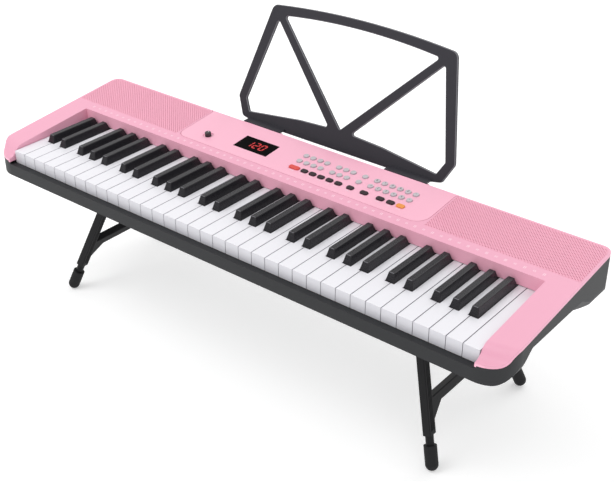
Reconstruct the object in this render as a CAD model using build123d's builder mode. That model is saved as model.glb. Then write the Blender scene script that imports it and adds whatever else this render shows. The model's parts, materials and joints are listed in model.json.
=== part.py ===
from build123d import *
import os
from math import atan, cos, radians, sin, sqrt, tan

# A 61-key portable keyboard with an H-shaped folding leg frame under each end and a lift-out music rest.
# Millimetres, +X along the keys from low notes to high, +Y to the back, +Z up.
# The origin is on the floor, below the middle of the object's bounding box.

# Keys: standard full-size pitch
white_pitch = 23.5
octaves = 5
white_keys = 7 * octaves + 1
key_gap = 0.9
white_depth = 150.0
white_height = 20.0
black_width = 13.7
black_top_width = 9.0
black_height = 12.3
black_front = 54.5
black_top_front = 58.5
black_top_rear = 145.0
black_slot_play = 0.6
key_wall = 1.9
neck_depth = 8.0
flange_depth = 12.0

# Case
half_bay = white_keys * white_pitch / 2
half_case = half_bay + 40.5
case_front = -12.0
case_rear = 258.0
front_corner = 40.0
rear_corner = 14.0
wall = 2.5
fallboard_y = 150.5
fallboard_top = 20.6
fallboard_bottom = 1.0
deck_slope = atan(0.105)
case_bottom = -38.0
bay_play = 0.4
ledge_z = -19.0
lip = 4.5
nose_turn_deg = 12.0
nose_start = -136.2
nose_length = 27.0
nose_depth = 13.9
edge_round = 1.0
side_roll = 20.0
rear_roll = 24.0
inner_wall_bottom = -16.0
scoop_top = -7.5
scoop_reach = 30.5

# Deck fittings, as x and y over the keys' datum
panel_left = -233.0
panel_right = 227.0
panel_front = 170.0
panel_gap = 0.8
grille_gap = 0.15
grille_outer = half_case - 3.5
grille_front = 171.0
grille_rear = case_rear - 3.0
window_centre = (-101.4, 208.5)
window_size = (65.3, 34.0)
knob_centre = (-187.5, 193.0)
knob_radius = 5.0
button_rows = (190.4, 209.0, 225.5)
round_button_radius = 4.5
button_rise = 2.0
button_play = 0.3
pill_depth = 8.0
round_pitch = 13.35

# Music rest
rest_y = 278.0
rest_z = 32.0
rest_tilt = radians(18.0)
rest_thickness = 4.0
rest_height = 190.0
socket_x = 136.5
socket_width = 79.0
socket_rear = 265.5
socket_bottom = 10.0
socket_top = 28.0
tab_plate_low = 28.4
tab_plate_high = 31.0
tab_width = 73.0
tab_depth = 14.0
tab_thickness = 2.8
tab_y = 261.6

# Leg frames
hinge_z = -48.0
hinge_x = 287.6
leg_lean = atan(0.355)
leg_centre_y = 145.0
leg_spread_top = 69.7
leg_spread_foot = 118.3
leg_straight = 14.0
bar = 13.0
crossbar_z = -157.0
leg_drop = 192.4
foot_radius = 9.0
pin_radius = 3.0
running_play = 0.05

# Where the keys' datum, the top front edge of the white keys, sits over the floor
rest_back = rest_y + rest_height * sin(rest_tilt) + rest_thickness / 2 * cos(rest_tilt)
key_y = -(case_front + rest_back) / 2
key_z = leg_drop - hinge_z
keys = Plane(origin=(0, key_y, key_z))
side = Plane(origin=(0, key_y, key_z), x_dir=(0, 1, 0), z_dir=(1, 0, 0))
front = Plane(origin=(0, key_y, key_z), x_dir=(1, 0, 0), z_dir=(0, -1, 0))
deck = Plane(
    origin=(0, key_y + fallboard_y, key_z + fallboard_top),
    x_dir=(1, 0, 0),
    z_dir=(0, -sin(deck_slope), cos(deck_slope)),
)
far = 1000.0


def save(part, name):
    """Labels one finished piece and writes its file."""
    part.label = name
    export_step(part, f"parts/{name}.step")


def on_deck(point):
    """A plan position on the deck, as coordinates in the sloping deck plane."""
    return (point[0], (point[1] - fallboard_y) / cos(deck_slope))


def deck_height(y):
    """Height of the deck's plane over the white keys' tops."""
    return fallboard_top + (y - fallboard_y) * tan(deck_slope)


def prism(plan, low=-100.0, high=100.0):
    """An upright prism over a plan outline."""
    return extrude(Pos(0, 0, low) * plan, amount=high - low, mode=Mode.PRIVATE)


# ---------------------------------------------------------------- shapes that both case halves share


def case_plan(inset):
    """Plan outline of the case: wide round corners at the front, tight ones at the back."""
    with BuildSketch(keys) as plan:
        with Locations((0, (case_front + case_rear) / 2)):
            Rectangle(2 * half_case, case_rear - case_front)
        fillet(plan.vertices().group_by(Axis.Y)[0], front_corner)
        fillet(plan.vertices().group_by(Axis.Y)[-1], rear_corner)
        if inset:
            offset(amount=-inset)
    return plan.sketch


def nose_cutter(hand, drop):
    """Everything in front of a cheek's nose, an S-shaped slope whose axis turns outwards and back."""
    turn = radians(nose_turn_deg)
    plane = Plane(
        origin=deck.from_local_coords(Vector(hand * half_bay, nose_start, 0)),
        x_dir=deck.x_dir * (-hand * sin(turn)) + deck.y_dir * cos(turn),
        z_dir=deck.x_dir * cos(turn) + deck.y_dir * (hand * sin(turn)),
    )
    floor = -(nose_depth + 0.8 * drop)
    middle = (-nose_length / 2, (floor - drop) / 2)
    with BuildPart() as cutter:
        with BuildSketch(plane):
            with BuildLine():
                TangentArc((0, -drop), middle, tangent=(-1, 0))
                TangentArc((-nose_length, floor), middle, tangent=(1, 0))
                Polyline((0, -drop), (0, 80), (-80, 80), (-80, floor), (-nose_length, floor))
            make_face()
        extrude(amount=70, both=True)
    return cutter.part


def under_top(inset, drop):
    """Everything below the case's top surface, drawn in by inset all round and down by drop."""
    whole = prism(case_plan(inset), -90, 90)
    noses = [nose_cutter(hand, drop) for hand in (-1, 1)]
    with BuildPart() as block:
        add(whole)
        with BuildSketch(deck.offset(-drop)):
            Rectangle(far, far)
        extrude(amount=200, mode=Mode.SUBTRACT)
        add(noses, mode=Mode.SUBTRACT)
    return block.part


def side_scoop(grow):
    """The hollow under each end, between the feet: a trapezoid that narrows inwards at 45 degrees."""
    with BuildPart() as scoop:
        with BuildSketch(side.offset(-half_case)):
            Polygon((-65, -100), (52, scoop_top), (178, scoop_top), (348, -100), align=None)
            if grow:
                offset(amount=grow * sqrt(2), kind=Kind.INTERSECTION)
        extrude(amount=scoop_reach, taper=45)
        mirror(about=Plane.YZ)
    return scoop.part


def over_bottom(inset):
    """The outside of the lower case, open upwards: rolled lower edges and a scoop under each end."""
    low = case_bottom + inset
    reach = half_case - inset
    rear = case_rear - inset
    roll = side_roll - inset
    back = rear_roll - inset
    cut = 1 - sqrt(0.5)
    whole = prism(case_plan(inset), low, low + 90)
    scoops = side_scoop(inset)
    with BuildPart() as block:
        add(whole)
        with BuildSketch(front):
            with BuildLine():
                Line((reach - roll, low), (reach, low))
                Line((reach, low), (reach, low + roll))
                ThreePointArc(
                    (reach, low + roll),
                    (reach - cut * roll, low + cut * roll),
                    (reach - roll, low),
                )
            make_face()
            mirror(about=Plane.YZ)
        extrude(amount=400, both=True, mode=Mode.SUBTRACT)
        with BuildSketch(side):
            with BuildLine():
                Line((rear - back, low), (rear, low))
                Line((rear, low), (rear, low + back))
                ThreePointArc(
                    (rear, low + back),
                    (rear - cut * back, low + cut * back),
                    (rear - back, low),
                )
            make_face()
        extrude(amount=far, both=True, mode=Mode.SUBTRACT)
        add(scoops, mode=Mode.SUBTRACT)
    return block.part


def box_between(low, high, mode=Mode.ADD):
    """A box between two corners, both given over the keys' datum."""
    middle = [(a + b) / 2 for a, b in zip(low, high)]
    with Locations(keys.from_local_coords(Vector(*middle))):
        Box(*[b - a for a, b in zip(low, high)], mode=mode)


def panel_plan(grow=0.0):
    """Plan outline of the control panel. At the back its sides flare out into the case's rear edge."""
    middle_x = (panel_left + panel_right) / 2
    width = panel_right - panel_left
    with BuildSketch(keys) as plan:
        with Locations((middle_x, (panel_front + case_rear) / 2)):
            Rectangle(width, case_rear - panel_front)
        with Locations((middle_x, case_rear + 10)):
            Rectangle(width + 80, 20)
        fillet(plan.vertices().group_by(Axis.Y)[1].sort_by(Axis.X)[1:3], 8)
        fillet(plan.vertices().group_by(Axis.Y)[0].sort_by(Axis.X)[-1], 22)
        fillet(plan.vertices().group_by(Axis.Y)[0].sort_by(Axis.X)[0], 15)
        if grow:
            offset(amount=grow)
    return plan.sketch


def grille_plan(hand, grow=0.0):
    """Plan outline of one speaker grille, which runs out nearly to the case's end."""
    inner = -panel_left + 3.5 if hand < 0 else panel_right + 3.5
    with BuildSketch(keys) as plan:
        with Locations((hand * (inner + grille_outer) / 2, (grille_front + grille_rear) / 2)):
            Rectangle(grille_outer - inner, grille_rear - grille_front)
        outer = plan.vertices().group_by(Axis.Y)[-1].sort_by(Axis.X)[0 if hand < 0 else -1]
        fillet(outer, rear_corner - 3)
        if grow:
            offset(amount=grow)
    return plan.sketch


def on_rim(edge):
    """Whether an edge of the top skin lies on the case's outline in plan."""
    middle = keys.to_local_coords(edge @ 0.5)
    outline = case_plan(0).wires()[0]
    flat = keys.from_local_coords(Vector(middle.X, middle.Y, 0))
    return outline.distance_to(flat) < 0.05


# ---------------------------------------------------------------- case

cavity_bay = half_bay + bay_play + wall

skin_top = under_top(0, 0)
skin_inside = under_top(wall, wall)
lip_inside = under_top(-1, lip)
post_roof = under_top(1, 1)

bay = half_bay + bay_play

with BuildPart() as outer_top:
    add(skin_top)
    box_between((-bay, -100, -100), (bay, fallboard_y, 100), Mode.SUBTRACT)
    top_faces = outer_top.faces().filter_by(lambda f: f.normal_at().Z > 0.3)
    rim = [e for f in top_faces for e in f.edges() if on_rim(e)]
    fillet(rim, edge_round)

with BuildPart() as case_cavity:
    add(skin_inside)
    box_between((-cavity_bay, -100, -100), (cavity_bay, fallboard_y + wall, 100), Mode.SUBTRACT)

with BuildPart() as below_seam:
    add(lip_inside)
    box_between(
        (-cavity_bay, -100, inner_wall_bottom), (cavity_bay, fallboard_y + wall, 100), Mode.SUBTRACT
    )


def left_plan(grow=0.0):
    """Plan outline of the left grille."""
    return grille_plan(-1, grow)


def right_plan(grow=0.0):
    """Plan outline of the right grille."""
    return grille_plan(1, grow)


def rest_ledge(plan_of):
    """A thin ledge under the skin, round the edge of one opening, for the piece that fills it."""
    outline = prism(plan_of(3))
    opening = prism(plan_of(-4))
    upper = under_top(wall, wall)
    lower = under_top(wall, wall + 1.5)
    with BuildPart() as ledge:
        add(outline)
        add(opening, mode=Mode.SUBTRACT)
        add(upper, mode=Mode.INTERSECT)
        add(lower, mode=Mode.SUBTRACT)
    return ledge.part


screw_places = [(-436, 20), (436, 20), (-429, 162), (429, 162)]
screw_seat = -9.0
post_joint = -6.0

with BuildPart() as screw_posts:
    with BuildSketch(keys.offset(post_joint + 0.1)):
        with Locations(*screw_places):
            Circle(4.5)
    extrude(amount=80)
    add(post_roof, mode=Mode.INTERSECT)

openings = [prism(panel_plan(panel_gap)), prism(left_plan(grille_gap)), prism(right_plan(grille_gap))]
ledges = [rest_ledge(plan_of) for plan_of in (panel_plan, left_plan, right_plan)]

with BuildPart() as upper_case:
    add(outer_top.part)
    add(case_cavity.part, mode=Mode.SUBTRACT)
    add(below_seam.part, mode=Mode.SUBTRACT)
    fallboard_rear = fallboard_y + wall + 1
    box_between((-bay, fallboard_y - 1, -100), (bay, fallboard_rear, fallboard_bottom), Mode.SUBTRACT)
    add(openings, mode=Mode.SUBTRACT)
    add(ledges)
    add(screw_posts.part)
    with BuildSketch(keys.offset(post_joint)):
        with Locations(*screw_places):
            Circle(1.5)
    extrude(amount=10, mode=Mode.SUBTRACT)
save(upper_case.part, "upper_case")

round_rows = button_rows[1:]
round_groups = {
    "grey_buttons_left": [-16.8 + 13.25 * i for i in range(4)],
    "grey_buttons_middle": [44.7 + 13.1 * i for i in range(3)],
    "grey_buttons_pair": [92.3],
    "number_buttons": [113.3 + round_pitch * i for i in range(6)],
}
pill_groups = {
    "red_button": ([-11.5], 18.5),
    "dark_button_row": ([7.6, 23.0, 38.4, 54.0, 70.0], 11.5),
    "dark_button_centre": ([91.3], 11.5),
    "dark_button_right": ([115.7], 12.5),
    "dark_button_pair": ([143.6, 161.2], 12.5),
    "orange_button": ([177.9], 12.5),
}


def button_outlines(name, grow=0.0):
    """Outlines of one group of buttons in the deck's plane."""
    with BuildSketch(deck) as outlines:
        if name in round_groups:
            places = [on_deck((x, y)) for x in round_groups[name] for y in round_rows]
            with Locations(*places):
                Circle(round_button_radius + grow)
        else:
            centres, width = pill_groups[name]
            with Locations(*[on_deck((x, button_rows[0])) for x in centres]):
                RectangleRounded(width + 2 * grow, pill_depth + 2 * grow, 3 + grow)
    return outlines.sketch


def along_deck(sketch, low, high):
    """A prism on the deck between two heights over the deck's surface."""
    step = deck.z_dir * low
    moved = Pos(step.X, step.Y, step.Z) * sketch
    return extrude(moved, amount=high - low, dir=deck.z_dir, mode=Mode.PRIVATE)


button_names = list(round_groups) + list(pill_groups)
panel_block = prism(panel_plan())
button_holes = [along_deck(button_outlines(name, button_play), -10, 10) for name in button_names]

neck_low = deck_height(case_rear) - lip + 0.5

with BuildPart() as control_panel:
    add(outer_top.part)
    add(panel_block, mode=Mode.INTERSECT)
    add(skin_inside, mode=Mode.SUBTRACT)
    add(below_seam.part, mode=Mode.SUBTRACT)
    for hand in (-1, 1):
        low_x = hand * socket_x - socket_width / 2
        high_x = hand * socket_x + socket_width / 2
        box_between((low_x, case_rear - 2, neck_low), (high_x, case_rear + 1, socket_top))
        box_between((low_x, case_rear + 0.3, socket_bottom), (high_x, socket_rear, socket_top))
        box_between(
            (hand * socket_x - tab_width / 2 - 0.5, tab_y - 1.6, rest_z - tab_depth - 1),
            (hand * socket_x + tab_width / 2 + 0.5, tab_y + 1.6, rest_z + 1),
            Mode.SUBTRACT,
        )
    add(button_holes, mode=Mode.SUBTRACT)
    with BuildSketch(deck.offset(-10)):
        with Locations(on_deck(window_centre)):
            Rectangle(window_size[0] + 0.4, window_size[1] + 0.4)
        with Locations(on_deck(knob_centre)):
            Circle(3.6)
    extrude(amount=20, mode=Mode.SUBTRACT)
    with BuildSketch(deck.offset(-1)):
        with Locations(on_deck(knob_centre)):
            Circle(8.5)
    extrude(amount=5, mode=Mode.SUBTRACT)
save(control_panel.part, "control_panel")

grille_underside = under_top(-1, wall)
for plan_of, name in ((left_plan, "left_speaker_grille"), (right_plan, "right_speaker_grille")):
    grille_block = prism(plan_of())
    with BuildPart() as speaker_grille:
        add(outer_top.part)
        add(grille_block, mode=Mode.INTERSECT)
        add(grille_underside, mode=Mode.SUBTRACT)
    save(speaker_grille.part, name)

jack_z = 2.0
power_jack_x = 250.0
headphone_jack_x = 285.0
bay_x = 53.0
bay_front = 185.0
bay_rear = 229.0
bay_top = -18.0

tub_outside = over_bottom(0)
tub_inside = over_bottom(wall)

with BuildPart() as lower_posts:
    with BuildSketch(keys.offset(case_bottom)):
        with Locations(*screw_places):
            Circle(5)
    extrude(amount=post_joint - case_bottom)
    add(tub_outside, mode=Mode.INTERSECT)

with BuildPart() as lower_case:
    add(tub_outside)
    add(below_seam.part, mode=Mode.INTERSECT)
    add(tub_inside, mode=Mode.SUBTRACT)
    box_between((-half_bay, case_front - 1, ledge_z), (half_bay, case_front + wall + 1, 20), Mode.SUBTRACT)
    for start, end, height in ((case_front, -7, ledge_z), (-8, -1.0, ledge_z - 0.8)):
        box_between((-half_bay - 2, start + 0.2, ledge_z - 3.3), (half_bay + 2, end, height))
    box_between((-half_bay - 2, -3.5, case_bottom + 1), (half_bay + 2, -1.0, ledge_z - 3))
    box_between((-bay_x - 4, bay_front - 4, case_bottom + 1), (bay_x + 4, bay_rear + 4, bay_top + 2))
    box_between((-bay_x, bay_front, case_bottom - 1), (bay_x, bay_rear, bay_top), Mode.SUBTRACT)
    box_between(
        (-bay_x - 2, bay_front - 2, case_bottom - 1),
        (bay_x + 2, bay_rear + 2, case_bottom + wall),
        Mode.SUBTRACT,
    )
    add(lower_posts.part)
    with BuildSketch(keys.offset(case_bottom)):
        with Locations(*screw_places):
            Circle(3.3)
    extrude(amount=screw_seat - case_bottom, mode=Mode.SUBTRACT)
    with BuildSketch(keys.offset(case_bottom)):
        with Locations(*screw_places):
            Circle(1.7)
    extrude(amount=40, mode=Mode.SUBTRACT)
    with BuildSketch(front):
        with Locations((power_jack_x, jack_z)):
            Circle(5.6)
        with Locations((headphone_jack_x, jack_z)):
            Circle(4.6)
    extrude(amount=-300, mode=Mode.SUBTRACT)
save(lower_case.part, "lower_case")

# ---------------------------------------------------------------- keys

black_offsets = {0: -2.1, 1: 2.1, 3: -3.95, 4: 0.0, 5: 3.95}
neck_start = white_depth + neck_depth
pivot_y = 170.0
flange_tops = {"low": -1.5, "middle": -4.5, "high": -7.5}
flange_thickness = 2.0


def white_sides(note):
    """The neck's left and right edge of one white key, from its own left boundary."""
    left = key_gap / 2
    right = white_pitch - key_gap / 2
    reach = black_width / 2 + black_slot_play
    if note - 1 in black_offsets:
        left = black_offsets[note - 1] + reach
    if note in black_offsets:
        right = white_pitch + black_offsets[note] - reach
    return left, right


def white_comb(first_note, notes, level, name):
    """White keys of one moulding: hollow keys, thin necks and a shared flange behind them."""
    start = -half_bay + first_note * white_pitch
    cut_y = black_front - black_slot_play
    sides = {note: white_sides(note) for note in notes}
    with BuildPart() as comb:
        with BuildSketch(keys) as outlines:
            for note in notes:
                x = start + note * white_pitch
                left, right = sides[note]
                near_left = x + key_gap / 2
                near_right = x + white_pitch - key_gap / 2
                with BuildLine():
                    Polyline(
                        (near_left, 0),
                        (near_right, 0),
                        (near_right, cut_y),
                        (x + right, cut_y + 0.01),
                        (x + right, neck_start),
                        (x + left, neck_start),
                        (x + left, cut_y + 0.01),
                        (near_left, cut_y),
                        close=True,
                    )
                make_face()
        extrude(amount=-white_height)
        fillet(comb.faces().filter_by(Plane.XY).group_by(Axis.Z)[-1].edges(), 0.7)
        with BuildSketch(keys.offset(-white_height)):
            add(outlines.sketch_local)
            offset(amount=-key_wall, kind=Kind.INTERSECTION, mode=Mode.REPLACE)
        extrude(amount=white_height - 2.4, mode=Mode.SUBTRACT)
        top = flange_tops[level]
        for note in notes:
            x = start + note * white_pitch
            left, right = sides[note]
            box_between((x + left, neck_start - 1, top - flange_thickness), (x + right, pivot_y, top))
        first = start + notes[0] * white_pitch + sides[notes[0]][0]
        last = start + notes[-1] * white_pitch + sides[notes[-1]][1]
        box_between((first, 166, top - flange_thickness), (last, 166 + flange_depth, top))
    save(comb.part, name)


def black_comb(first_note, name):
    """The five black keys of one octave, each a tapered block, on a shared flange."""
    start = -half_bay + first_note * white_pitch
    centres = [start + (note + 1) * white_pitch + shift for note, shift in black_offsets.items()]
    with BuildPart() as comb:
        for x in centres:
            with BuildSketch(keys):
                with Locations((x, (black_front + 150) / 2)):
                    Rectangle(black_width, 150 - black_front)
            with BuildSketch(keys.offset(black_height)):
                with Locations((x, (black_top_front + black_top_rear) / 2)):
                    Rectangle(black_top_width, black_top_rear - black_top_front)
            loft()
        fillet(comb.edges().filter_by(lambda e: e.center().Z > key_z + 1), 1.3)
        top = flange_tops["high"]
        for x in centres:
            half = black_width / 2
            box_between((x - half, black_front, -12), (x + half, neck_start, 0))
            box_between((x - 3.2, black_front + 9, -13), (x + 3.2, 140, 9.5), Mode.SUBTRACT)
            box_between((x - half, neck_start - 1, top - flange_thickness), (x + half, pivot_y, top))
        ends = (centres[0] - black_width / 2, centres[-1] + black_width / 2)
        box_between((ends[0], 166, top - flange_thickness), (ends[1], 166 + flange_depth, top))
    save(comb.part, name)


for octave in range(octaves):
    white_comb(7 * octave, (0, 2, 4, 6), "low", f"white_keys_ceg_{octave + 1}")
    white_comb(7 * octave, (1, 3, 5), "middle", f"white_keys_dfa_{octave + 1}")
    black_comb(7 * octave, f"black_keys_{octave + 1}")
white_comb(7 * octaves - 7, (7,), "low", "top_c_key")

frame_top = -31.5
felt_top = -28.4
contact_board_top = -29.9

with BuildPart() as key_frame:
    with BuildSketch(side.offset(-half_bay + 2)):
        Polygon(
            (5, -35.5), (22, -35.5), (22, -33.5), (165, -33.5), (165, -35.5), (168, -35.5),
            (168, -12.7), (178, -12.7), (178, -10.2), (165, -10.2), (165, frame_top), (5, frame_top),
            align=None,
        )
    extrude(amount=2 * half_bay - 4)
save(key_frame.part, "key_frame")

with BuildPart() as key_stop_felt:
    box_between((-half_bay + 3, 6, frame_top), (half_bay - 3, 20, felt_top))
save(key_stop_felt.part, "key_stop_felt")

with BuildPart() as key_contact_board:
    box_between((-half_bay + 6, 60, frame_top), (half_bay - 6, 112, contact_board_top))
save(key_contact_board.part, "key_contact_board")

with BuildPart() as key_contact_strip:
    box_between((-half_bay + 8, 64, contact_board_top), (half_bay - 8, 108, contact_board_top + 1))
    with BuildSketch(keys.offset(contact_board_top + 1)):
        with Locations((0, 78)):
            with GridLocations(white_pitch, 1, white_keys - 1, 1):
                Circle(4)
        with Locations((0, 96)):
            with GridLocations(white_pitch, 1, white_keys - 1, 1):
                Circle(3.2)
    extrude(amount=4, taper=12)
save(key_contact_strip.part, "key_contact_strip")

# ---------------------------------------------------------------- control panel's fittings

cap_bottom = -7.1
mat_top = -8.3
board_top = -12.0

for name in button_names:
    caps = along_deck(button_outlines(name), cap_bottom, button_rise)
    collars = along_deck(button_outlines(name, 0.9), -4.3, -2.9)
    with BuildPart() as buttons:
        add(caps)
        fillet(buttons.faces().filter_by(lambda f: f.normal_at().dot(deck.z_dir) > 0.99).edges(), 0.8)
        add(collars)
    save(buttons.part, name)

domes = [along_deck(button_outlines(name, -1.2), board_top + 0.6, mat_top) for name in button_names]

with BuildPart() as button_mat:
    with BuildSketch(deck.offset(board_top)):
        with Locations(on_deck((83, 208))):
            RectangleRounded(240, 56, 4)
    extrude(amount=1.2)
    add(domes)
save(button_mat.part, "button_mat")

with BuildPart() as panel_board:
    with BuildSketch(deck.offset(board_top)):
        with Locations(on_deck((0, 211))):
            Rectangle(420, 68)
    extrude(amount=-1.6)
save(panel_board.part, "panel_board")

with BuildPart() as display_window:
    with BuildSketch(deck.offset(-2.2)):
        with Locations(on_deck(window_centre)):
            Rectangle(*window_size)
    extrude(amount=2.2)
save(display_window.part, "display_window")

with BuildPart() as display_module:
    with BuildSketch(deck.offset(board_top)):
        with Locations(on_deck(window_centre)):
            Rectangle(window_size[0] - 12, window_size[1] - 8)
    extrude(amount=-2.2 - board_top)
save(display_module.part, "display_module")

with BuildPart() as encoder_body:
    with BuildSketch(deck.offset(board_top)):
        with Locations(on_deck(knob_centre)):
            Rectangle(13, 13)
    extrude(amount=6)
    with BuildSketch(deck.offset(board_top + 6)):
        with Locations(on_deck(knob_centre)):
            Circle(3.4)
    extrude(amount=3)
    with BuildSketch(deck.offset(board_top + 2)):
        with Locations(on_deck(knob_centre)):
            Circle(2.5 + running_play)
    extrude(amount=20, mode=Mode.SUBTRACT)
save(encoder_body.part, "encoder_body")

with BuildPart() as encoder_shaft:
    with BuildSketch(deck.offset(board_top + 2.3)):
        with Locations(on_deck(knob_centre)):
            Circle(2.5)
    extrude(amount=3.5 - board_top - 2.3)
save(encoder_shaft.part, "encoder_shaft")

with BuildPart() as volume_knob:
    with BuildSketch(deck.offset(-0.6)):
        with Locations(on_deck(knob_centre)):
            Circle(knob_radius)
    extrude(amount=6.6)
    fillet(volume_knob.faces().filter_by(lambda f: f.normal_at().dot(deck.z_dir) > 0.99).edges(), 1.8)
    with BuildSketch(deck.offset(-0.6)):
        with Locations(on_deck(knob_centre)):
            with PolarLocations(knob_radius + 0.15, 18):
                Circle(0.45)
    extrude(amount=4.2, mode=Mode.SUBTRACT)
    with BuildSketch(deck.offset(-0.6)):
        with Locations(on_deck(knob_centre)):
            Circle(2.5)
    extrude(amount=4.1, mode=Mode.SUBTRACT)
save(volume_knob.part, "volume_knob")

speaker_outline = [(0, -31), (22, -31), (22, -20), (19, -20), (33, -6), (38.5, -6), (38.5, -4), (36, -4),
                   (34, -4.6), (13, -14), (0, -10)]
for hand, name in ((-1, "left_speaker"), (1, "right_speaker")):
    middle_x = (grille_outer - panel_left) / 2 if hand < 0 else (grille_outer + panel_right) / 2
    centre = deck.from_local_coords(Vector(*on_deck((hand * middle_x, 214)), 0))
    with BuildPart() as speaker:
        with BuildSketch(Plane(origin=centre, x_dir=(1, 0, 0), z_dir=-deck.y_dir)):
            Polygon(*speaker_outline, align=None)
        revolve(axis=Axis(centre, deck.z_dir))
    save(speaker.part, name)

# ---------------------------------------------------------------- electronics, battery bay, feet and screws

with BuildPart() as main_board:
    box_between((150, 188, -31), (320, 232, -29.4))
    for x in (156, 314):
        for y in (193, 227):
            box_between((x - 3, y - 3, case_bottom + wall), (x + 3, y + 3, -31))
    for x, width in ((180, 18), (215, 26), (255, 14), (290, 20)):
        box_between((x - width / 2, 202, -29.4), (x + width / 2, 202 + width * 0.8, -27))
save(main_board.part, "main_board")


def rear_jack(x, radius, bore, depth, name):
    """A socket block inside the back wall, whose collar comes out through the wall."""
    with BuildPart() as jack:
        box_between((x - 8, case_rear - wall - 18, jack_z - 7), (x + 8, case_rear - wall, jack_z + 7))
        with BuildSketch(front.offset(-case_rear + wall)):
            with Locations((x, jack_z)):
                Circle(radius)
        extrude(amount=-wall - 0.6)
        with BuildSketch(front.offset(-case_rear - 0.6)):
            with Locations((x, jack_z)):
                Circle(bore)
        extrude(amount=depth, mode=Mode.SUBTRACT)
    save(jack.part, name)


rear_jack(power_jack_x, 5.5, 2.8, 10, "power_jack")
rear_jack(headphone_jack_x, 4.5, 1.8, 14, "headphone_jack")

with BuildPart() as battery_cover:
    cover_x = bay_x + 1.7
    box_between((-cover_x, bay_front - 1.7, case_bottom), (cover_x, bay_rear + 1.7, case_bottom + wall - 0.1))
    with BuildSketch(keys.offset(case_bottom)):
        with Locations((0, (bay_front + bay_rear) / 2)):
            with GridLocations(4, 1, 9, 1):
                SlotOverall(24, 1.6, rotation=90)
    extrude(amount=0.8, mode=Mode.SUBTRACT)
save(battery_cover.part, "battery_cover")

with BuildPart() as battery_contacts:
    for end in (-1, 1):
        x = end * bay_x
        low, high = sorted((x, x - end * 0.6))
        box_between((low, bay_front + 1, -34), (high, bay_rear - 1, bay_top - 2))
        with BuildSketch(side.offset(x - end * 0.6)):
            with Locations(*[(bay_front + 7.3 + 14.6 * i, -26.5) for i in range(3)]):
                Circle(4)
        extrude(amount=-end * 3.5, taper=25)
save(battery_contacts.part, "battery_contacts")

with BuildPart() as case_feet:
    with BuildSketch(keys.offset(case_bottom)):
        with Locations((-430, 1), (430, 1), (-432, 225), (432, 225)):
            Circle(7)
    extrude(amount=-3)
    fillet(case_feet.edges().group_by(Axis.Z)[0], 1)
save(case_feet.part, "case_feet")

with BuildPart() as case_screws:
    with BuildSketch(keys.offset(screw_seat - 2.4)):
        with Locations(*screw_places):
            Circle(3)
            RegularPolygon(1.3, 6, mode=Mode.SUBTRACT)
    extrude(amount=1.6)
    with BuildSketch(keys.offset(screw_seat - 0.8)):
        with Locations(*screw_places):
            Circle(3)
    extrude(amount=0.8)
    with BuildSketch(keys.offset(screw_seat)):
        with Locations(*screw_places):
            Circle(1.45)
    extrude(amount=12)
save(case_screws.part, "case_screws")

# ---------------------------------------------------------------- music rest

rest_plane = Plane(
    origin=(0, key_y + rest_y, key_z + rest_z),
    x_dir=(1, 0, 0),
    z_dir=(0, -cos(rest_tilt), sin(rest_tilt)),
)
side_opening = [(152.8, 160), (21, 22.5), (79, 19.3), (101.5, 16.5), (177, 7.5), (187.5, 27)]
rest_corners = [(167.5, 180.6), (204, 27.7), (189.3, -2.3), (163, -7.5)]

with BuildPart() as music_rest:
    with BuildSketch(rest_plane) as lattice:
        with BuildLine():
            Polyline(*rest_corners, *[(-x, y) for x, y in reversed(rest_corners)])
            ThreePointArc((-167.5, 180.6), (0, rest_height), (167.5, 180.6))
        make_face()
        fillet(lattice.vertices().group_by(Axis((0, 0, 0), rest_plane.y_dir))[-1], 12)
        fillet(lattice.vertices().filter_by(lambda v: abs(v.X) > 188 and abs(v.X) < 205), 7)
        with BuildSketch(rest_plane, mode=Mode.SUBTRACT) as middle_opening:
            with BuildLine():
                ThreePointArc((-142, 167.5), (0, 176), (142, 167.5))
                Polyline((142, 167.5), (0, 24), (-142, 167.5))
            make_face()
            fillet(middle_opening.vertices(), 3)
        with BuildSketch(rest_plane, mode=Mode.SUBTRACT) as side_openings:
            Polygon(*side_opening, align=None)
            fillet(side_openings.vertices(), 3)
            mirror(about=Plane.YZ)
    extrude(amount=rest_thickness / 2, both=True)
    rest_face = music_rest.faces().filter_by(lambda f: f.normal_at().dot(rest_plane.z_dir) > 0.99)
    chamfer(rest_face.edges(), 0.9)
    for hand in (-1, 1):
        low_x = hand * socket_x - tab_width / 2
        high_x = hand * socket_x + tab_width / 2
        tab_front = tab_y - tab_thickness / 2
        box_between((low_x, tab_front, tab_plate_low), (high_x, rest_y - 1, tab_plate_high))
        box_between((low_x, tab_front, rest_z - tab_depth), (high_x, tab_front + tab_thickness, tab_plate_high))
save(music_rest.part, "music_rest")

# ---------------------------------------------------------------- leg frames

leg_length = leg_drop / cos(leg_lean)
bar_slope = (leg_spread_foot - leg_spread_top) / (leg_length - leg_straight)
bar_end = 156.0
foot_top = 26.0
foot_flat = 0.6
neck_radius = 5.7
neck_in_foot = 12.0
eye_radius = 7.2
ear_gap = 0.4
ear = 3.5
crossbar = (hinge_z - crossbar_z) / cos(leg_lean)


def leg_plane(hand):
    """The plane a leg frame lies in: x towards the back, y up along the lean, origin on the hinge."""
    return Plane(
        origin=(hand * hinge_x, key_y + leg_centre_y, key_z + hinge_z),
        x_dir=(0, 1, 0),
        z_dir=(cos(leg_lean), 0, hand * sin(leg_lean)),
    )


def bar_spread(down):
    """Half the distance between the two bars, this far down from the hinge."""
    return leg_spread_top + bar_slope * max(0.0, down - leg_straight)


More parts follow.
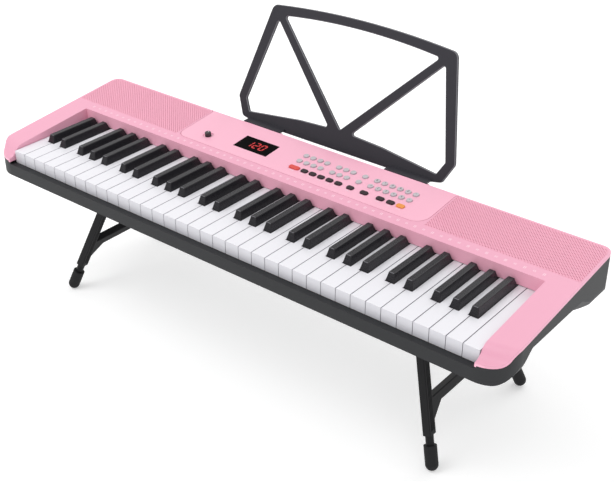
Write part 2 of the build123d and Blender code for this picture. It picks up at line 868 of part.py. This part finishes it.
def foot_axis(hand, end):
    """Where a foot's rounded end is centred, and the direction up its leg."""
    plane = leg_plane(hand)
    low = plane.from_local_coords(Vector(end * leg_spread_foot, -leg_length, 0))
    high = plane.from_local_coords(Vector(end * leg_spread_top, -leg_straight, 0))
    up = (high - low).normalized()
    return low + up * ((foot_radius - foot_flat) / up.Z), up


for hand, word in ((-1, "left"), (1, "right")):
    plane = leg_plane(hand)
    with BuildPart() as leg_frame:
        with BuildSketch(plane) as frame_outline:
            half = bar / 2
            for end in (-1, 1):
                Polygon(
                    (end * leg_spread_top - half, 0),
                    (end * leg_spread_top + half, 0),
                    (end * leg_spread_top + half, -leg_straight),
                    (end * bar_spread(bar_end) + half, -bar_end),
                    (end * bar_spread(bar_end) - half, -bar_end),
                    (end * leg_spread_top - half, -leg_straight),
                    align=None,
                )
                inner = end * (bar_spread(crossbar) - half)
                Polygon(
                    (inner - end * 16, -crossbar - half),
                    (inner + end * 4, -crossbar - half),
                    (inner + end * 7, -crossbar - half - 17),
                    align=None,
                )
            with Locations((0, -crossbar)):
                Rectangle(2 * bar_spread(crossbar), bar)
        extrude(amount=half, both=True)
        fillet(leg_frame.edges().filter_by(lambda e: e.length > 60), 1.5)
        for face in (-1, 1):
            with BuildSketch(plane.offset(face * half)):
                for end in (-1, 1):
                    top = Vector(end * bar_spread(20), -20)
                    low = Vector(end * bar_spread(bar_end - 6), -bar_end + 6)
                    for shift in (-2.6, 0, 2.6):
                        side_step = Vector(shift, 0)
                        SlotCenterPoint((top + low) / 2 + side_step, low + side_step, 1.3)
            extrude(amount=-face * 0.8, mode=Mode.SUBTRACT)
        for end in (-1, 1):
            eye_plane = Plane(
                origin=(hand * hinge_x, key_y + leg_centre_y + end * leg_spread_top, key_z + hinge_z),
                x_dir=(1, 0, 0),
                z_dir=(0, 1, 0),
            )
            with BuildSketch(eye_plane):
                Circle(eye_radius)
            extrude(amount=half, both=True)
            with BuildSketch(eye_plane):
                Circle(pin_radius + running_play)
            extrude(amount=half + 1, both=True, mode=Mode.SUBTRACT)
            centre, up = foot_axis(hand, end)
            with BuildSketch(Plane(origin=centre + up * (foot_top - neck_in_foot), z_dir=up)):
                Circle(neck_radius)
            extrude(amount=neck_in_foot + 24)
    save(leg_frame.part, f"{word}_leg_frame")

    with BuildPart() as leg_feet:
        for end in (-1, 1):
            centre, up = foot_axis(hand, end)
            with BuildSketch(Plane(origin=centre, z_dir=up)):
                Circle(foot_radius)
            extrude(amount=foot_top)
            with Locations(centre):
                Sphere(foot_radius)
            with BuildSketch(Plane(origin=centre + up * (foot_top - neck_in_foot), z_dir=up)):
                Circle(neck_radius)
            extrude(amount=neck_in_foot + 1, mode=Mode.SUBTRACT)
        split(bisect_by=Plane.XY, keep=Keep.TOP)
    save(leg_feet.part, f"{word}_leg_feet")

hinge_places = [(hand, end) for hand in (-1, 1) for end in (-1, 1)]

with BuildPart() as hinge_brackets:
    for hand, end in hinge_places:
        x = hand * hinge_x
        y = leg_centre_y + end * leg_spread_top
        reach = bar / 2 + ear_gap + ear
        box_between((x - 15, y - reach - 4, case_bottom - 2.5), (x + 15, y + reach + 4, case_bottom))
        for y_low in (y - reach, y + reach - ear):
            with BuildSketch(Plane(origin=(x, key_y + y_low, key_z), x_dir=(-1, 0, 0), z_dir=(0, 1, 0))):
                with Locations((0, hinge_z)):
                    Circle(8)
                with Locations((0, (hinge_z + case_bottom - 1) / 2)):
                    Rectangle(16, case_bottom - 1 - hinge_z)
                with Locations((0, hinge_z)):
                    Circle(pin_radius, mode=Mode.SUBTRACT)
            extrude(amount=ear)
save(hinge_brackets.part, "hinge_brackets")

with BuildPart() as hinge_pins:
    for hand, end in hinge_places:
        x = hand * hinge_x
        y = leg_centre_y + end * leg_spread_top
        reach = bar / 2 + ear_gap + ear
        with BuildSketch(Plane(origin=(x, key_y + y, key_z + hinge_z), x_dir=(-1, 0, 0), z_dir=(0, 1, 0))):
            Circle(pin_radius)
        extrude(amount=reach, both=True)
        with BuildSketch(Plane(origin=(x, key_y + y + reach, key_z + hinge_z), x_dir=(-1, 0, 0), z_dir=(0, 1, 0))):
            Circle(4.5)
        extrude(amount=1.5)
save(hinge_pins.part, "hinge_pins")
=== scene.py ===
import json
from math import atan, cos, pi, radians, sin, sqrt

import bmesh
import bpy
from mathutils import Matrix, Vector


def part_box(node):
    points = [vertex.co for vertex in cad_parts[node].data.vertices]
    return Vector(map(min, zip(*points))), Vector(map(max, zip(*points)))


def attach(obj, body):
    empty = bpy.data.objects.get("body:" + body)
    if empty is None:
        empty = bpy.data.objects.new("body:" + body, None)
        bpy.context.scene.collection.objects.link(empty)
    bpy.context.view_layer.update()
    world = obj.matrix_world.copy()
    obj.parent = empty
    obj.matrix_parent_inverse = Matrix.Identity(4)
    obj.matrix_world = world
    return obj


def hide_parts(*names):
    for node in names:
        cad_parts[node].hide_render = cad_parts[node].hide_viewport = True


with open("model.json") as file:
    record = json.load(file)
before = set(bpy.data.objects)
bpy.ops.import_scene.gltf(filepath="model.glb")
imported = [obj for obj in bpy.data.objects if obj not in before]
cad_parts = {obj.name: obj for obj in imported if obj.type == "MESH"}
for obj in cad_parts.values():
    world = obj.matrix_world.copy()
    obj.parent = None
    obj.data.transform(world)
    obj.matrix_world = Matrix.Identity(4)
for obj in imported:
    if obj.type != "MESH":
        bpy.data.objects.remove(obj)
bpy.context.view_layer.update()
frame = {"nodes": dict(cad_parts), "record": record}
nodes = frame["nodes"]

MM = 0.001

# ---------------------------------------------------------------- places, from the frame's parts and a few given sizes

KEY_PITCH = 23.5 * MM
KEY_COUNT = 36
HALF_BAY = KEY_COUNT * KEY_PITCH / 2
DECK_SLOPE = atan(0.105)

white_low, white_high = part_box("top_c_key")
KEY_FRONT = white_low.y
KEY_TOP = white_high.z

grille_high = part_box("left_speaker_grille")[1]
DECK_ORIGIN = Vector((0, grille_high.y, grille_high.z))
DECK_UP = Vector((0, -sin(DECK_SLOPE), cos(DECK_SLOPE)))
DECK_BACK = Vector((0, cos(DECK_SLOPE), sin(DECK_SLOPE)))


def deck_frame(centre, lift=0.0):
    """Local x runs along the keys, y up the deck's slope and z out of it, from a plan position."""
    along = (centre[1] - DECK_ORIGIN.y) / cos(DECK_SLOPE)
    origin = Vector((centre[0], 0, 0)) + Vector((0, DECK_ORIGIN.y, DECK_ORIGIN.z))
    origin += DECK_BACK * along + DECK_UP * lift
    axes = Matrix((Vector((1, 0, 0)), DECK_BACK, DECK_UP)).transposed()
    return Matrix.Translation(origin) @ axes.to_4x4()


# ---------------------------------------------------------------- materials


def srgb(code):
    """A linear colour from a hex code."""
    values = [int(code[i : i + 2], 16) / 255 for i in (1, 3, 5)]
    linear = [v / 12.92 if v <= 0.04045 else ((v + 0.055) / 1.055) ** 2.4 for v in values]
    return (*linear, 1.0)


def new_material(name, roughness, specular=0.5):
    """A material with a Principled shader whose constants sit on the shader's own sockets."""
    made = bpy.data.materials.new(name)
    made.use_nodes = True
    shader = made.node_tree.nodes["Principled BSDF"]
    shader.inputs["Roughness"].default_value = roughness
    shader.inputs["Specular IOR Level"].default_value = specular
    return made, shader


def facing(tree, direction, near, spread):
    """1 where the part's surface faces close to this direction: its cosine within spread of near."""
    place = tree.nodes.new("ShaderNodeTexCoord")
    cosine = tree.nodes.new("ShaderNodeVectorMath")
    cosine.operation = "DOT_PRODUCT"
    cosine.inputs[1].default_value = Vector(direction).normalized()
    close = tree.nodes.new("ShaderNodeMath")
    close.operation = "COMPARE"
    close.inputs[1].default_value = near
    close.inputs[2].default_value = spread
    tree.links.new(place.outputs["Normal"], cosine.inputs[0])
    tree.links.new(cosine.outputs["Value"], close.inputs[0])
    return close.outputs["Value"]


def paint_light_and_shade(made, direction, near, spread, colour):
    """Paints light or shade as colour on the faces that point this way, over the material's own colour.
    """
    tree = made.node_tree
    shader = tree.nodes["Principled BSDF"]
    old = shader.inputs["Base Color"].links[0].from_socket
    over = tree.nodes.new("ShaderNodeMix")
    over.data_type = "RGBA"
    over.inputs["B"].default_value = srgb(colour)
    tree.links.new(facing(tree, direction, near, spread), over.inputs["Factor"])
    tree.links.new(old, over.inputs["A"])
    tree.links.new(over.outputs["Result"], shader.inputs["Base Color"])


def moulded(name, colour, roughness=0.4, tint=0.03, grain=0.5, grain_size=0.0006, specular=0.5):
    """Moulded plastic: a slow drift of tint, a slightly uneven gloss and the fine grain of the tool."""
    made, shader = new_material(name, roughness, specular)
    tree = made.node_tree
    link = tree.links.new
    place = tree.nodes.new("ShaderNodeTexCoord")

    drift = tree.nodes.new("ShaderNodeTexNoise")
    drift.inputs["Scale"].default_value = 9.0
    drift.inputs["Detail"].default_value = 3.0
    link(place.outputs["Object"], drift.inputs["Vector"])
    shade = tree.nodes.new("ShaderNodeMix")
    shade.data_type = "RGBA"
    base = srgb(colour)
    shade.inputs["A"].default_value = (*[c * (1 - tint) for c in base[:3]], 1)
    shade.inputs["B"].default_value = (*[min(1, c * (1 + tint)) for c in base[:3]], 1)
    link(drift.outputs["Fac"], shade.inputs["Factor"])
    link(shade.outputs["Result"], shader.inputs["Base Color"])

    speck = tree.nodes.new("ShaderNodeTexNoise")
    speck.inputs["Scale"].default_value = 1 / grain_size
    speck.inputs["Detail"].default_value = 2.0
    link(place.outputs["Object"], speck.inputs["Vector"])
    gloss = tree.nodes.new("ShaderNodeMapRange")
    gloss.inputs["To Min"].default_value = max(0.02, roughness - 0.06)
    gloss.inputs["To Max"].default_value = roughness + 0.06
    link(speck.outputs["Fac"], gloss.inputs["Value"])
    link(gloss.outputs["Result"], shader.inputs["Roughness"])
    bump = tree.nodes.new("ShaderNodeBump")
    bump.inputs["Strength"].default_value = grain
    bump.inputs["Distance"].default_value = 0.00006
    link(speck.outputs["Fac"], bump.inputs["Height"])
    link(bump.outputs["Normal"], shader.inputs["Normal"])
    return made


def brushed_metal(name, colour, roughness=0.3):
    """Turned or brushed metal with fine streaks."""
    made, shader = new_material(name, roughness)
    shader.inputs["Metallic"].default_value = 1.0
    tree = made.node_tree
    link = tree.links.new
    place = tree.nodes.new("ShaderNodeTexCoord")
    stretch = tree.nodes.new("ShaderNodeMapping")
    stretch.inputs["Scale"].default_value = (3000, 200, 3000)
    streak = tree.nodes.new("ShaderNodeTexNoise")
    streak.inputs["Scale"].default_value = 1.0
    link(place.outputs["Object"], stretch.inputs["Vector"])
    link(stretch.outputs["Vector"], streak.inputs["Vector"])
    shade = tree.nodes.new("ShaderNodeMix")
    shade.data_type = "RGBA"
    base = srgb(colour)
    shade.inputs["A"].default_value = (*[c * 0.85 for c in base[:3]], 1)
    shade.inputs["B"].default_value = base
    link(streak.outputs["Fac"], shade.inputs["Factor"])
    link(shade.outputs["Result"], shader.inputs["Base Color"])
    return made


def felt_material(name, colour):
    """Pressed felt: matt, with tangled fibres."""
    made, shader = new_material(name, 0.95, specular=0.2)
    shader.inputs["Sheen Weight"].default_value = 0.6
    tree = made.node_tree
    link = tree.links.new
    place = tree.nodes.new("ShaderNodeTexCoord")
    fibre = tree.nodes.new("ShaderNodeTexNoise")
    fibre.inputs["Scale"].default_value = 1500.0
    fibre.inputs["Detail"].default_value = 6.0
    fibre.inputs["Distortion"].default_value = 1.5
    link(place.outputs["Object"], fibre.inputs["Vector"])
    shade = tree.nodes.new("ShaderNodeMix")
    shade.data_type = "RGBA"
    base = srgb(colour)
    shade.inputs["A"].default_value = (*[c * 0.6 for c in base[:3]], 1)
    shade.inputs["B"].default_value = base
    link(fibre.outputs["Fac"], shade.inputs["Factor"])
    link(shade.outputs["Result"], shader.inputs["Base Color"])
    bump = tree.nodes.new("ShaderNodeBump")
    bump.inputs["Distance"].default_value = 0.0003
    link(fibre.outputs["Fac"], bump.inputs["Height"])
    link(bump.outputs["Normal"], shader.inputs["Normal"])
    return made


def lit_segments(name, colour, strength):
    """Glowing display segments."""
    made, shader = new_material(name, 0.4)
    shader.inputs["Base Color"].default_value = srgb(colour)
    shader.inputs["Emission Color"].default_value = srgb(colour)
    shader.inputs["Emission Strength"].default_value = strength
    return made


pink = moulded("pink_satin", "#EBA8BF", roughness=0.4, tint=0.02, grain=0.35)
pink_panel = moulded("pink_panel_satin", "#F5B5CA", roughness=0.34, tint=0.015, grain=0.2)
pink_grille = moulded("pink_grille", "#EDA6BC", roughness=0.5, tint=0.02, grain=0.35)
charcoal = moulded("charcoal_case", "#2A2B2D", roughness=0.5, tint=0.05, grain=0.8, specular=0.25)
leg_black = moulded("leg_black", "#18181A", roughness=0.45, tint=0.06, grain=0.8, specular=0.18)
rest_black = moulded("rest_black", "#333238", roughness=0.48, tint=0.05, grain=0.8, specular=0.3)
white_plastic = moulded(
    "white_key_gloss", "#E8E7EC", roughness=0.25, tint=0.008, grain=0.08, specular=0.4
)
black_plastic = moulded(
    "black_key_gloss", "#232226", roughness=0.28, tint=0.05, grain=0.25, specular=0.32
)
grey_cap = moulded("grey_cap", "#BFBABF", roughness=0.4, tint=0.02, grain=0.3)
red_cap = moulded("red_cap", "#D9473F", roughness=0.38, tint=0.02, grain=0.3)
orange_cap = moulded("orange_cap", "#EA9440", roughness=0.38, tint=0.02, grain=0.3)
dark_cap = moulded("dark_cap", "#2C1E24", roughness=0.4, tint=0.04, grain=0.3, specular=0.3)
knob_black = moulded("knob_black", "#332B2E", roughness=0.3, tint=0.04, grain=0.4)
lens_black = moulded("lens_black", "#040203", roughness=0.35, tint=0.01, grain=0.0, specular=0.02)
rubber = moulded(
    "foot_rubber", "#19191B", roughness=0.7, tint=0.08, grain=1.0, grain_size=0.0009, specular=0.3
)
mat_rubber = moulded("mat_rubber", "#9A9AA0", roughness=0.8, tint=0.04, grain=0.6)
frame_grey = moulded("frame_grey", "#8C8C8E", roughness=0.55, tint=0.04, grain=0.6)
board_green = moulded("board_green", "#1E5A32", roughness=0.35, tint=0.12, grain=0.4, grain_size=0.0015)
speaker_black = moulded("speaker_black", "#1B1B1D", roughness=0.6, tint=0.1, grain=1.0, grain_size=0.001)
steel = brushed_metal("screw_steel", "#B9BABD")
felt = felt_material("stop_felt", "#7A1F26")
print_pale = moulded("printed_pale", "#FBDCE6", roughness=0.5, tint=0.01, grain=0.1)
print_dark = moulded("printed_dark", "#4A4044", roughness=0.5, tint=0.02, grain=0.1)
print_white = moulded("printed_white", "#F4F0F2", roughness=0.45, tint=0.01, grain=0.1)
segment_red = lit_segments("segment_red", "#A81A1C", 0.55)

# Painted shade: the white keys' sides and fronts are painted darker than their tops.
for across in (-1, 1):
    paint_light_and_shade(white_plastic, (across, 0, 0), 1.0, 0.2, "#A9A8B0")
paint_light_and_shade(white_plastic, (0, -1, 0), 1.0, 0.3, "#DAD9DF")
# Painted light: the pink faces that look forward, the fallboard's among them, are painted paler than the
# deck.
paint_light_and_shade(pink, (0, -1, 0), 1.0, 0.05, "#FBB6CC")
# Painted highlights: the front edges of the black keys' tops and the music rest's chamfers are painted
# paler, as if they caught the light.
REST_TILT = radians(18)
paint_light_and_shade(black_plastic, (0, -0.6, 0.8), 1.0, 0.03, "#77767C")
paint_light_and_shade(rest_black, (0, -cos(REST_TILT), sin(REST_TILT)), cos(radians(45)), 0.12, "#77777C")

SLOT_MATERIALS = {
    "pink": pink,
    "pink_panel": pink_panel,
    "charcoal": charcoal,
    "leg_plastic": leg_black,
    "rest_plastic": rest_black,
    "white_key": white_plastic,
    "black_key": black_plastic,
    "grey_button": grey_cap,
    "dark_button": dark_cap,
    "red_button": red_cap,
    "orange_button": orange_cap,
    "display_lens": lens_black,
    "display_red": speaker_black,
    "knob_plastic": knob_black,
    "foot_rubber": rubber,
    "mat_rubber": mat_rubber,
    "felt": felt,
    "circuit_board": board_green,
    "frame_plastic": frame_grey,
    "speaker_metal": speaker_black,
    "jack_plastic": speaker_black,
    "steel": steel,
    "spring_steel": steel,
}

for subpart in frame["record"]["subparts"]:
    node = nodes[subpart["node"]]
    node.data.materials.clear()
    node.data.materials.append(SLOT_MATERIALS[subpart["material_slot"]])

# ---------------------------------------------------------------- speaker grilles with real holes

HOLE_STEP = 2.2 * MM
HOLE_RADIUS = 0.88 * MM
HOLE_SIDES = 12
GRILLE_THICKNESS = 2.4 * MM
GRILLE_CORNER = 11 * MM


def add_piece(name, mesh, material, body):
    """Turns a bmesh into a piece that rides on a body."""
    data = bpy.data.meshes.new(name)
    bmesh.ops.recalc_face_normals(mesh, faces=mesh.faces)
    mesh.to_mesh(data)
    mesh.free()
    piece = bpy.data.objects.new(name, data)
    bpy.context.scene.collection.objects.link(piece)
    data.materials.append(material)
    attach(piece, body)
    return piece


def perforated_plate(name, node, hand, material):
    """The node's plate, laid in upright bricks with a round hole in each, so the holes are staggered."""
    low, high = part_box(node)
    width = high.x - low.x
    length = (high.y - low.y) / cos(DECK_SLOPE)
    columns = round(width / HOLE_STEP)
    rows = round(length / HOLE_STEP / 2)
    brick_x = width / columns
    brick_y = length / rows
    plane = deck_frame((low.x, low.y))
    corner = Vector((width - GRILLE_CORNER if hand > 0 else GRILLE_CORNER, length - GRILLE_CORNER))
    mesh = bmesh.new()
    made = {}

    def past_corner(x, y):
        """Whether a point lies outside the plate's round rear corner."""
        step = Vector((x, y)) - corner
        return step.x * hand > 0 and step.y > 0 and step.length > GRILLE_CORNER + 1e-6

    def vertex(x, y, height):
        """The vertex at a place on the plate, shared by every brick that meets there."""
        y = min(max(y, 0.0), length)
        if past_corner(x, y):
            x, y = corner + (Vector((x, y)) - corner).normalized() * GRILLE_CORNER
        key = (round(x * 1e6), round(y * 1e6), height)
        if key not in made:
            made[key] = mesh.verts.new(plane @ Vector((x, y, height)))
        return made[key]

    def brick_outline(x, y):
        """Twelve points round a brick, clockwise from its lower left corner."""
        left = [(x, y + brick_y * i / 4) for i in range(4)]
        top = [(x + brick_x * i / 2, y + brick_y) for i in range(2)]
        right = [(x + brick_x, y + brick_y * (1 - i / 4)) for i in range(4)]
        base = [(x + brick_x * (1 - i / 2), y) for i in range(2)]
        return left + top + right + base

    def solid_brick(outline):
        """A brick without a hole, less any corners that fall together."""
        for height in (0.0, -GRILLE_THICKNESS):
            ring = list(dict.fromkeys(vertex(x, y, height) for x, y in outline))
            if len(ring) > 2:
                mesh.faces.new(ring)

    def holed_brick(outline, x, y):
        """A brick with its hole: two faces of twelve quads and the hole's wall."""
        angles = [pi * 5 / 4 - 2 * pi * i / HOLE_SIDES for i in range(HOLE_SIDES)]
        centre = (x + brick_x / 2, y + brick_y / 2)
        rim = [(centre[0] + HOLE_RADIUS * cos(a), centre[1] + HOLE_RADIUS * sin(a)) for a in angles]
        for i in range(HOLE_SIDES):
            j = (i + 1) % HOLE_SIDES
            between = (outline[i], outline[j], rim[j], rim[i])
            for height in (0.0, -GRILLE_THICKNESS):
                mesh.faces.new([vertex(*point, height) for point in between])
            top = [vertex(*point, 0.0) for point in (rim[i], rim[j])]
            base = [vertex(*point, -GRILLE_THICKNESS) for point in (rim[j], rim[i])]
            mesh.faces.new(top + base)

    for column in range(columns):
        shifted = column % 2
        for row in range(rows + shifted):
            x = column * brick_x
            y = (row - shifted / 2) * brick_y
            outline = brick_outline(x, y)
            cut_short = y < -brick_y / 4 or y + brick_y * 0.75 > length
            if cut_short or any(past_corner(*point) for point in outline):
                solid_brick(outline)
            else:
                holed_brick(outline, x, y)
    places = {v: key for key, v in made.items()}
    for edge in [e for e in mesh.edges if e.is_boundary]:
        start, end = (places[v] for v in edge.verts)
        if start[2] == 0 and end[2] == 0:
            below = [made[(key[0], key[1], -GRILLE_THICKNESS)] for key in (end, start)]
            mesh.faces.new([*edge.verts, *below])
    piece = add_piece(name, mesh, material, "case")
    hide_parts(node)


perforated_plate("left_grille_plate", "left_speaker_grille", -1, pink_grille)
perforated_plate("right_grille_plate", "right_speaker_grille", 1, pink_grille)

# ---------------------------------------------------------------- a liner in the case's left front corner

CORNER_RADIUS = 40 * MM
ROLL_RADIUS = 20 * MM
LINER_RADII = (19.8 * MM, 17.7 * MM)
LINER_ANGLES = [radians(angle) for angle in range(20, 76, 5)]
LINER_END_GAP = 1.5 * MM
SCOOP_RISE = 92.5 / 117
SCOOP_START = Vector((-65 * MM, -100 * MM))
SCOOP_LEAN = sqrt(1 + SCOOP_RISE**2)


def corner_liner():
    """Closes the rolled lower edge between the case's corner and the hollow under its end."""
    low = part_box("lower_case")[0]
    mesh = bmesh.new()
    rings = []
    for angle in LINER_ANGLES:
        places = []
        for radius in LINER_RADII:
            inward = ROLL_RADIUS - radius * cos(angle)
            z = low.z + ROLL_RADIUS - radius * sin(angle)
            corner = CORNER_RADIUS - sqrt(CORNER_RADIUS**2 - (CORNER_RADIUS - inward) ** 2)
            start = corner + low.y + LINER_END_GAP
            over_scoop = z - KEY_TOP - SCOOP_START.y + inward * SCOOP_LEAN
            end = KEY_FRONT + SCOOP_START.x + over_scoop / SCOOP_RISE - LINER_END_GAP
            places.append([Vector((low.x + inward, y, z)) for y in (start, end)])
        (outer_start, outer_end), (inner_start, inner_end) = places
        corners = (outer_start, outer_end, inner_end, inner_start)
        rings.append([mesh.verts.new(point) for point in corners])
    for ring, after in zip(rings, rings[1:]):
        for i in range(4):
            j = (i + 1) % 4
            mesh.faces.new([ring[i], ring[j], after[j], after[i]])
    mesh.faces.new(rings[0])
    mesh.faces.new(rings[-1])
    add_piece("corner_liner", mesh, charcoal, "case")


corner_liner()

# ---------------------------------------------------------------- small printed and lit marks

PRINT_LIFT = 0.02 * MM
THIN_PRINT = 0.03 * MM
THICK_PRINT = 0.04 * MM


def slab(mesh, place, outline, thickness):
    """A thin closed slab with this outline, standing on the place's plane."""
    top = [mesh.verts.new(place @ Vector((x, y, thickness))) for x, y in outline]
    base = [mesh.verts.new(place @ Vector((x, y, 0))) for x, y in outline]
    mesh.faces.new(top)
    mesh.faces.new(base[::-1])
    for i in range(len(outline)):
        j = (i + 1) % len(outline)
        mesh.faces.new([base[i], base[j], top[j], top[i]])


SEGMENTS = {
    "top": (0.0, 0.5, False),
    "upper_left": (-0.5, 0.25, True),
    "upper_right": (0.5, 0.25, True),
    "middle": (0.0, 0.0, False),
    "lower_left": (-0.5, -0.25, True),
    "lower_right": (0.5, -0.25, True),
    "bottom": (0.0, -0.5, False),
}
LIT = {
    "0": "top upper_left upper_right lower_left lower_right bottom",
    "1": "upper_right lower_right",
    "2": "top upper_right middle lower_left bottom",
    "3": "top upper_right middle lower_right bottom",
    "4": "upper_left upper_right middle lower_right",
    "5": "top upper_left middle lower_right bottom",
    "6": "top upper_left middle lower_left lower_right bottom",
    "7": "top upper_right lower_right",
    "8": "top upper_left upper_right middle lower_left lower_right bottom",
    "9": "top upper_left upper_right middle lower_right bottom",
    "-": "middle",
}


def segment_digit(mesh, place, digit, centre, width, height, thick, lean):
    """One digit of bars with pointed ends: width and height run between the bars' middles."""
    for name in LIT[digit].split():
        share_x, share_y, upright = SEGMENTS[name]
        half = (height / 4 if upright else width / 2) - thick * 0.08
        tip = thick / 2
        upper = [(-half, 0), (tip - half, tip), (half - tip, tip)]
        lower = [(half, 0), (half - tip, -tip), (tip - half, -tip)]
        outline = []
        for u, v in upper + lower:
            x, y = (v, u) if upright else (u, v)
            x += share_x * width
            y += share_y * height
            outline.append((centre[0] + x + lean * y, centre[1] + y))
        slab(mesh, place, outline, THICK_PRINT)


def bar_outline(x, y, width, height):
    """A plain rectangle."""
    return [
        (x - width / 2, y - height / 2),
        (x + width / 2, y - height / 2),
        (x + width / 2, y + height / 2),
        (x - width / 2, y + height / 2),
    ]


def middle_of(node):
    """A node's middle in plan."""
    low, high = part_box(node)
    return ((low.x + high.x) / 2, (low.y + high.y) / 2)


DIGIT_PITCH = 12.6 * MM
DIGIT_WIDTH = 7.6 * MM
DIGIT_HEIGHT = 14.6 * MM
DIGIT_BAR = 2.4 * MM
DIGIT_LEAN = 0.1
digits = bmesh.new()
window_place = deck_frame(middle_of("display_window"), PRINT_LIFT)
for number, digit in enumerate("120"):
    centre = ((number - 1) * DIGIT_PITCH, 0)
    segment_digit(digits, window_place, digit, centre, DIGIT_WIDTH, DIGIT_HEIGHT, DIGIT_BAR, DIGIT_LEAN)
add_piece("display_digits", digits, segment_red, "case")

# A faint pair of ticks for each of the 61 keys, on the strip behind them.
NOTES = 61
TICK_ROW = KEY_FRONT + 161.5 * MM
TICK_WIDTH = 0.8 * MM
TICK_HEIGHTS = (5.0 * MM, 3.6 * MM)
TICK_REACH = 1.1 * MM
ticks = bmesh.new()
for index in range(NOTES):
    x = -HALF_BAY + (index + 0.5) * 2 * HALF_BAY / NOTES
    place = deck_frame((x, TICK_ROW), PRINT_LIFT)
    for side in (-1, 1):
        outline = bar_outline(side * TICK_REACH, 0, TICK_WIDTH, TICK_HEIGHTS[index % 2])
        slab(ticks, place, outline, THIN_PRINT)
add_piece("deck_ticks", ticks, print_pale, "case")

# A plain dash under each pill button.
PILL_COUNTS = {
    "red_button": 1,
    "dark_button_row": 5,
    "dark_button_centre": 1,
    "dark_button_right": 1,
    "dark_button_pair": 2,
    "orange_button": 1,
}
HALF_PILL = 6.5 * MM
DASH_DROP = 2.6 * MM
DASH_WIDTH = 8 * MM
DASH_HEIGHT = 0.9 * MM
dashes = bmesh.new()
for node, count in PILL_COUNTS.items():
    low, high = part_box(node)
    first = low.x + HALF_PILL if count > 1 else (low.x + high.x) / 2
    pitch = (high.x - low.x - 2 * HALF_PILL) / (count - 1) if count > 1 else 0.0
    for index in range(count):
        place = deck_frame((first + index * pitch, low.y - DASH_DROP), PRINT_LIFT)
        slab(dashes, place, bar_outline(0, 0, DASH_WIDTH, DASH_HEIGHT), THIN_PRINT)
add_piece("panel_dashes", dashes, print_pale, "case")

# Numbers on the keypad: six columns and two rows of round caps.
CAP_RISE = 2.0 * MM
COLLAR = 5.4 * MM
LABEL_WIDTH = 1.7 * MM
LABEL_HEIGHT = 3.2 * MM
LABEL_BAR = 0.6 * MM
keypad_low, keypad_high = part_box("number_buttons")
keypad = bmesh.new()
for row, labels in enumerate(("67890-", "12345-")):
    for column, label in enumerate(labels):
        share = column / (len(labels) - 1)
        x = keypad_low.x + COLLAR + (keypad_high.x - keypad_low.x - 2 * COLLAR) * share
        y = keypad_high.y - COLLAR if row == 0 else keypad_low.y + COLLAR
        place = deck_frame((x, y), CAP_RISE + PRINT_LIFT)
        segment_digit(keypad, place, label, (0, 0), LABEL_WIDTH, LABEL_HEIGHT, LABEL_BAR, 0.0)
add_piece("keypad_numbers", keypad, print_dark, "number_buttons")

# A pale line on the knob's top.
KNOB_RISE = 6.0 * MM
POINTER_CENTRE = 1.6 * MM
POINTER_WIDTH = 0.8 * MM
POINTER_LENGTH = 2.6 * MM
pointer = bmesh.new()
pointer_place = deck_frame(middle_of("volume_knob"), KNOB_RISE + PRINT_LIFT)
slab(pointer, pointer_place, bar_outline(0, POINTER_CENTRE, POINTER_WIDTH, POINTER_LENGTH), THICK_PRINT)
add_piece("knob_pointer", pointer, print_white, "volume_knob")

# ---------------------------------------------------------------- floor, light and camera


def aim(obj, target):
    """Points an object's -Z axis at a target."""
    direction = Vector(target) - obj.location
    obj.rotation_euler = direction.to_track_quat("-Z", "Y").to_euler()


FLOOR_HALF = 12
FLOOR_DROP = 0.5 * MM  # so the floor never lies in the plane of the feet
floor_mesh = bmesh.new()
bmesh.ops.create_grid(floor_mesh, x_segments=1, y_segments=1, size=FLOOR_HALF)
floor_data = bpy.data.meshes.new("floor")
floor_mesh.to_mesh(floor_data)
floor_mesh.free()
floor = bpy.data.objects.new("floor", floor_data)
bpy.context.scene.collection.objects.link(floor)
floor.location.z = -FLOOR_DROP
floor_paint, floor_shader = new_material("floor_paint", 0.9, specular=0.1)
floor_shader.inputs["Base Color"].default_value = (0.85, 0.85, 0.85, 1)
floor_shader.inputs["Emission Color"].default_value = (1, 1, 1, 1)
floor_shader.inputs["Emission Strength"].default_value = 0.34
floor_data.materials.append(floor_paint)

world = bpy.data.worlds.new("studio")
world.use_nodes = True
sky = world.node_tree
background = sky.nodes["Background"]
background.inputs["Strength"].default_value = 0.9
view_direction = sky.nodes.new("ShaderNodeTexCoord")
split_axes = sky.nodes.new("ShaderNodeSeparateXYZ")
ramp = sky.nodes.new("ShaderNodeMapRange")
ramp.inputs["From Min"].default_value = -1.0
ramp.inputs["From Max"].default_value = 0.6
ramp.inputs["To Min"].default_value = 0.5
ramp.inputs["To Max"].default_value = 1.0
sky.links.new(view_direction.outputs["Generated"], split_axes.inputs["Vector"])
sky.links.new(split_axes.outputs["Y"], ramp.inputs["Value"])
sky.links.new(ramp.outputs["Result"], background.inputs["Color"])
bpy.context.scene.world = world


def softbox(name, place, target, size, power):
    """A large square area light, aimed at a target."""
    data = bpy.data.lights.new(name, "AREA")
    data.size = size
    data.energy = power
    light = bpy.data.objects.new(name, data)
    bpy.context.scene.collection.objects.link(light)
    light.location = place
    aim(light, target)


softbox("key_light", (-1.2, -1.4, 2.6), (0, 0, 0.2), 2.0, 36)
softbox("fill_light", (2.4, -2.2, 1.6), (0, 0, 0.2), 2.2, 18)
softbox("back_light", (0.3, 2.4, 2.2), (0, 0, 0.25), 2.0, 18)

camera_data = bpy.data.cameras.new("camera")
camera_data.lens = 65.0
camera_data.sensor_width = 36.0
camera = bpy.data.objects.new("camera", camera_data)
bpy.context.scene.collection.objects.link(camera)
camera.location = (-HALF_BAY + 1.3434, KEY_FRONT - 0.9371, KEY_TOP + 0.7574)
forward = Vector((-0.5411, 0.6719, -0.5058))
camera.rotation_euler = forward.to_track_quat("-Z", "Y").to_euler()
bpy.context.scene.camera = camera
bpy.context.scene.view_settings.view_transform = "Standard"
